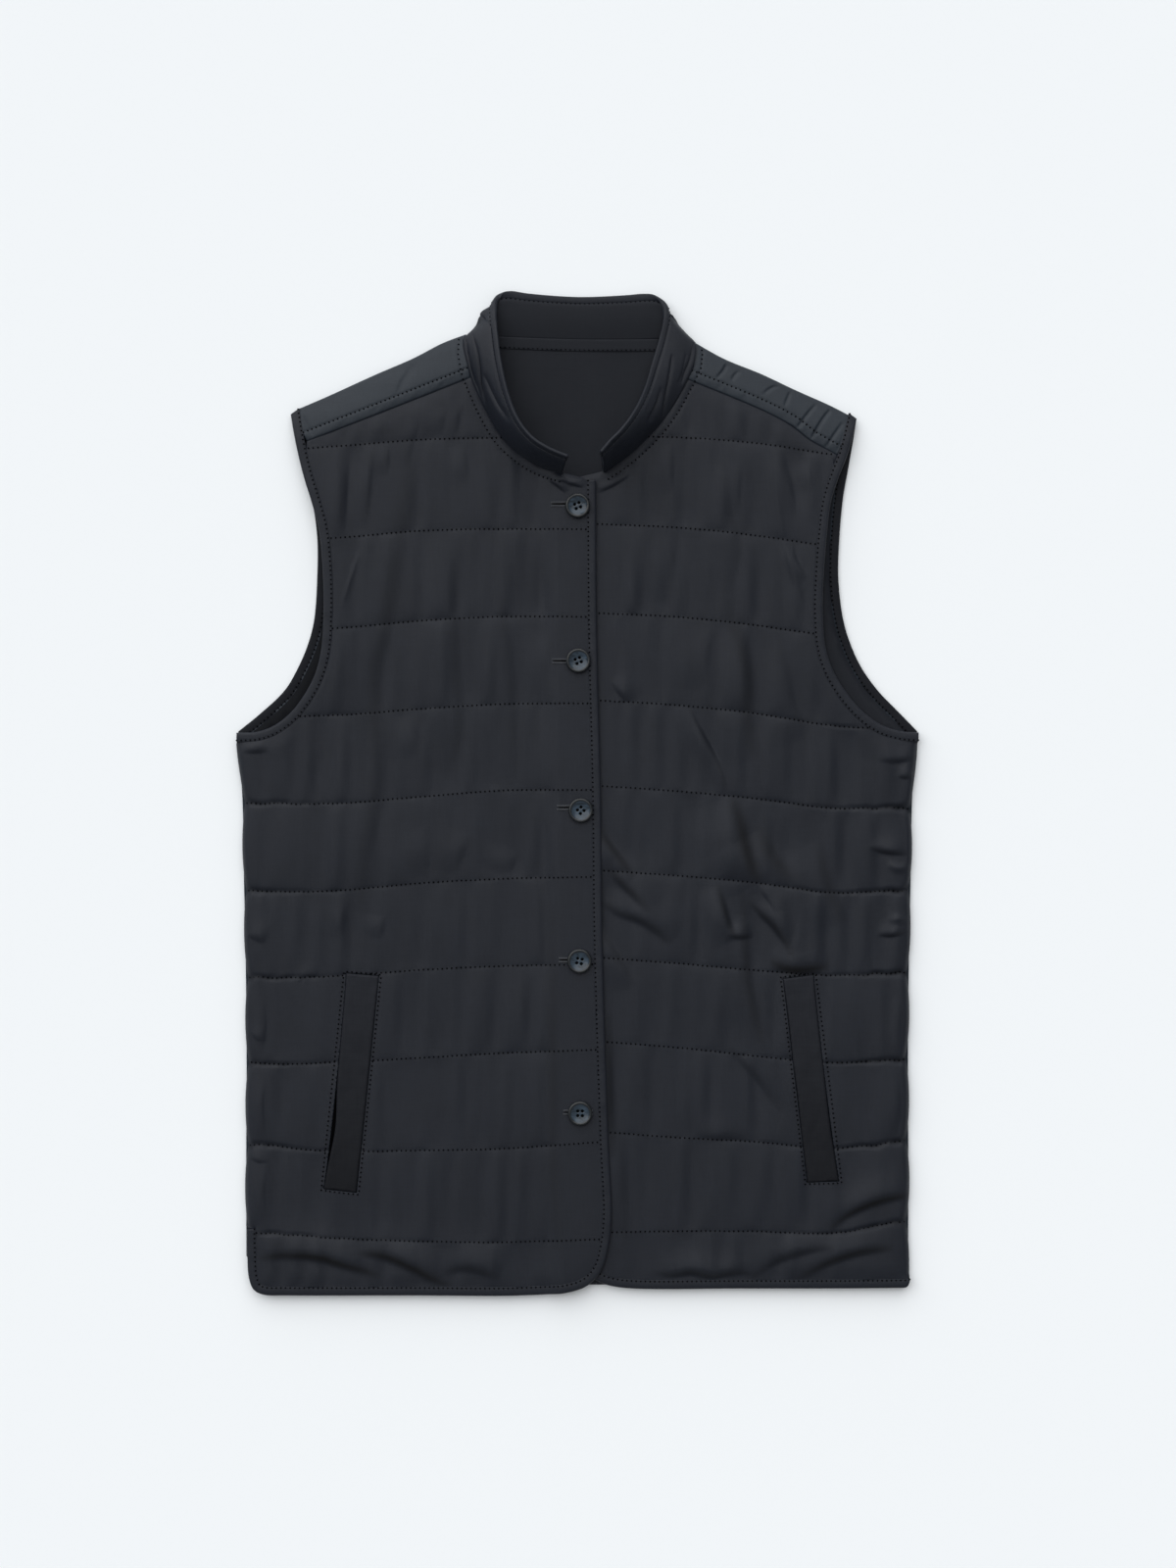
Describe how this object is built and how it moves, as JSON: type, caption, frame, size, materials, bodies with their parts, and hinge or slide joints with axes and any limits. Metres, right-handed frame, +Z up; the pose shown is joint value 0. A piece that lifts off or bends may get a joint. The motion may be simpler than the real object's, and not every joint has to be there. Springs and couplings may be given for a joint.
{
  "type": "quilted vest laid flat",
  "caption": "Sleeveless quilted vest with a stand collar, buttoned front, bound edges and slanted welt pockets, laid flat on its back.",
  "frame": {"origin": "middle of the laid-out vest's outline, on the plane that it rests on", "axes": "+Z up from the surface, +Y from the hem to the collar, +X towards the wearer's left side"},
  "size_m": [0.5006, 0.7389, 0.0445],
  "materials": {
    "shell_cloth": "dark charcoal blue woven cloth, slight sheen",
    "lining_cloth": "dark charcoal smooth lining",
    "button_resin": "blue-grey polished resin"
  },
  "bodies": {
    "root": {"back": "shell_cloth", "back_lining": "lining_cloth", "back_neck_tape": "lining_cloth", "right_front": "shell_cloth", "left_front": "shell_cloth", "collar": "shell_cloth", "collar_binding": "shell_cloth", "right_front_binding": "shell_cloth", "left_front_binding": "shell_cloth", "back_hem_binding": "shell_cloth", "right_armhole_binding_front": "shell_cloth", "right_armhole_binding_back": "shell_cloth", "left_armhole_binding_front": "shell_cloth", "left_armhole_binding_back": "shell_cloth", "right_pocket_welt": "shell_cloth", "left_pocket_welt": "shell_cloth", "button_1": "button_resin", "button_2": "button_resin", "button_3": "button_resin", "button_4": "button_resin", "button_5": "button_resin"}
  },
  "joints": []
}
